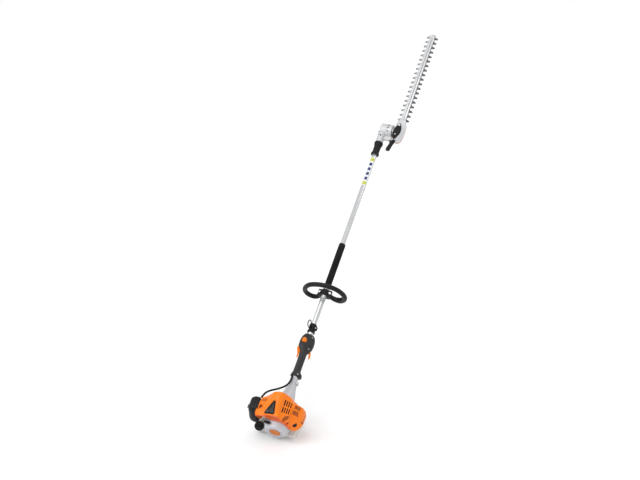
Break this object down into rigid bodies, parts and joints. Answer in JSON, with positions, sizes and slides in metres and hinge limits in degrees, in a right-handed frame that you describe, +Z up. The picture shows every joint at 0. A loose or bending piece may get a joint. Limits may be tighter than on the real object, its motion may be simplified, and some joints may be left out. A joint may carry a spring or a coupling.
{
  "type": "long-reach petrol hedge trimmer",
  "caption": "Long-reach petrol hedge trimmer with a rear engine, straight shaft, loop handle and a swivelling double-sided cutter bar.",
  "frame": {"origin": "centre of the flat foot under the fuel tank, where the tool stands on the ground", "axes": "+Z up, +X the way the shaft points over the ground from the engine towards the blades, +Y the operator's left; the shaft rises 27 degrees from +X"},
  "size_m": [2.174, 0.267, 1.1501],
  "materials": {
    "hood_orange": "semi-gloss moulded",
    "deep_orange": "matt moulded",
    "black_plastic": "fine-grained moulded",
    "gloss_black": "polished moulded",
    "grey_plastic": "fine-grained moulded",
    "silver_plastic": "metallic grey moulded",
    "tank_plastic": "translucent blow-moulded",
    "cast_metal": "die-cast",
    "gearbox_paint": "silver paint on die-cast metal",
    "steel": "machined",
    "tube_metal": "drawn and polished",
    "blade_steel": "ground",
    "soot_metal": "heat-resistant matt black",
    "foam": "closed-cell foam",
    "rope": "braided",
    "felt": "pleated filter",
    "bulb": "translucent soft",
    "rubber": "matt"
  },
  "bodies": {
    "root": {"starter_housing": "silver_plastic", "starter_badge": "deep_orange", "crankcase": "cast_metal", "clutch_housing": "silver_plastic", "cone_clamp_screw": "steel", "cylinder": "cast_metal", "muffler": "soot_metal", "carburettor": "cast_metal", "fuel_line": "rubber", "engine_hood": "hood_orange", "spark_plug_boot": "gloss_black", "muffler_guard": "hood_orange", "air_filter_base": "black_plastic", "air_filter_element": "felt", "air_filter_cover": "black_plastic", "fuel_tank": "tank_plastic", "cable_sleeve": "rubber", "shaft_tube": "tube_metal", "drive_bush_1": "rubber", "drive_bush_2": "rubber", "handle_shell_left": "black_plastic", "handle_shell_right": "grey_plastic", "ring_clamp": "black_plastic", "foam_grip": "foam", "gearbox_sleeve": "black_plastic", "angle_gearbox_housing": "gearbox_paint"},
    "crank": {"crankshaft": "steel", "flywheel_fan": "cast_metal", "clutch_hub": "steel"},
    "drive_line": {"clutch_drum": "steel", "drive_shaft": "steel", "bevel_pinion": "steel"},
    "cross_gear": {"bevel_gear": "steel"},
    "eccentric": {"eccentric_gear": "steel"},
    "piston_group": {"piston": "cast_metal", "connecting_rod": "steel"},
    "starter_cord": {"starter_grip": "black_plastic", "starter_rope": "rope"},
    "pulley": {"starter_pulley": "black_plastic"},
    "trigger": {"throttle_trigger": "hood_orange"},
    "lockout": {"lockout_lever": "hood_orange"},
    "stop_switch": {"stop_button": "hood_orange"},
    "choke": {"choke_lever": "black_plastic"},
    "primer": {"primer_bulb": "bulb"},
    "tank_cap": {"fuel_cap": "black_plastic"},
    "cover_knob": {"filter_knob": "black_plastic"},
    "ring": {"carrying_ring": "steel"},
    "front_handle": {"loop_handle": "black_plastic", "loop_clamp_cap": "black_plastic", "loop_clamp_screw_left": "steel", "loop_clamp_screw_right": "steel"},
    "head": {"swivel_disc": "steel", "blade_gearbox_housing": "gearbox_paint", "blade_gearbox_cover": "deep_orange", "swivel_cover": "black_plastic", "swivel_grip": "black_plastic", "guide_bar": "blade_steel"},
    "latch": {"swivel_latch": "black_plastic"},
    "top_blade": {"upper_blade": "blade_steel"},
    "bottom_blade": {"lower_blade": "blade_steel"}
  },
  "joints": [
    {"name": "crank_spin", "type": "hinge", "parent": "root", "child": "crank", "pos_m": [-0.02112, 0, 0.10751], "axis": [0.891, 0, 0.454], "continuous": true},
    {"name": "drive_spin", "type": "hinge", "parent": "root", "child": "drive_line", "pos_m": [0.69169, 0, 0.47071], "axis": [0.891, 0, 0.454], "continuous": true},
    {"name": "bevel_gear_spin", "type": "hinge", "parent": "root", "child": "cross_gear", "pos_m": [1.44459, 0, 0.85433], "axis": [0, 1, 0], "continuous": true},
    {"name": "eccentric_spin", "type": "hinge", "parent": "head", "child": "eccentric", "pos_m": [1.44459, -0.08, 0.85433], "axis": [-0.454, 0, 0.891], "continuous": true},
    {"name": "piston_slide", "type": "slide", "parent": "root", "child": "piston_group", "axis": [-0.454, 0, 0.891], "range_m": [-0.014, 0.014]},
    {"name": "starter_pull", "type": "slide", "parent": "root", "child": "starter_cord", "axis": [-0.454, 0, 0.891], "range_m": [0, 0.06], "stiffness_N_per_m": 60, "springref_m": -0.02},
    {"name": "pulley_spin", "type": "hinge", "parent": "root", "child": "pulley", "pos_m": [-0.09685, 0, 0.06893], "axis": [0.891, 0, 0.454], "range_deg": [0, 140]},
    {"name": "trigger_squeeze", "type": "hinge", "parent": "root", "child": "trigger", "pos_m": [0.28651, -0.01943, 0.25267], "axis": [0.4008, 0.4695, -0.7867], "range_deg": [0, 12], "stiffness_Nm_per_rad": 1, "springref_deg": -5.73},
    {"name": "lockout_press", "type": "hinge", "parent": "root", "child": "lockout", "pos_m": [0.27845, 0.01766, 0.27069], "axis": [-0.4008, -0.4695, 0.7867], "range_deg": [0, 7], "stiffness_Nm_per_rad": 1, "springref_deg": -5.73},
    {"name": "stop_press", "type": "slide", "parent": "root", "child": "stop_switch", "axis": [0.4293, -0.3256, -0.8425], "range_m": [0, 0.002], "stiffness_N_per_m": 800, "springref_m": -0.001},
    {"name": "choke_turn", "type": "hinge", "parent": "root", "child": "choke", "pos_m": [-0.10807, 0.088, 0.13279], "axis": [0, 1, 0], "range_deg": [0, 45]},
    {"name": "primer_press", "type": "slide", "parent": "root", "child": "primer", "axis": [0, -1, 0], "range_m": [0, 0.005], "stiffness_N_per_m": 500, "springref_m": -0.001},
    {"name": "fuel_cap_turn", "type": "hinge", "parent": "root", "child": "tank_cap", "pos_m": [-0.06222, 0.095, 0.0428], "axis": [-0.9511, 0, 0.309], "range_deg": [0, 90]},
    {"name": "filter_knob_turn", "type": "hinge", "parent": "root", "child": "cover_knob", "pos_m": [-0.06028, 0.14, 0.14031], "axis": [0, 1, 0], "range_deg": [0, 90]},
    {"name": "carrying_ring_swing", "type": "hinge", "parent": "root", "child": "ring", "pos_m": [0.38142, 0.00426, 0.33513], "axis": [0.891, 0, 0.454], "range_deg": [-60, 60]},
    {"name": "loop_handle_turn", "type": "hinge", "parent": "root", "child": "front_handle", "pos_m": [0.56516, 0, 0.40624], "axis": [0.891, 0, 0.454], "range_deg": [-30, 30]},
    {"name": "head_swivel", "type": "hinge", "parent": "root", "child": "head", "pos_m": [1.44459, 0, 0.85433], "axis": [0, 1, 0], "range_deg": [-55, 90]},
    {"name": "latch_pull", "type": "slide", "parent": "root", "child": "latch", "axis": [-0.891, 0, -0.454], "range_m": [0, 0.004], "stiffness_N_per_m": 600, "springref_m": -0.001},
    {"name": "upper_blade_stroke", "type": "slide", "parent": "head", "child": "top_blade", "axis": [0.891, 0, 0.454], "range_m": [-0.008, 0.008]},
    {"name": "lower_blade_stroke", "type": "slide", "parent": "head", "child": "bottom_blade", "axis": [0.891, 0, 0.454], "range_m": [-0.008, 0.008]}
  ],
  "couplings": [
    {"joint": "bevel_gear_spin", "follows": "drive_spin", "ratio": -0.5},
    {"joint": "eccentric_spin", "follows": "drive_spin", "ratio": 0.17647},
    {"joint": "pulley_spin", "follows": "starter_pull", "rad_per_m": 40},
    {"joint": "lower_blade_stroke", "follows": "upper_blade_stroke", "ratio": -1}
  ]
}
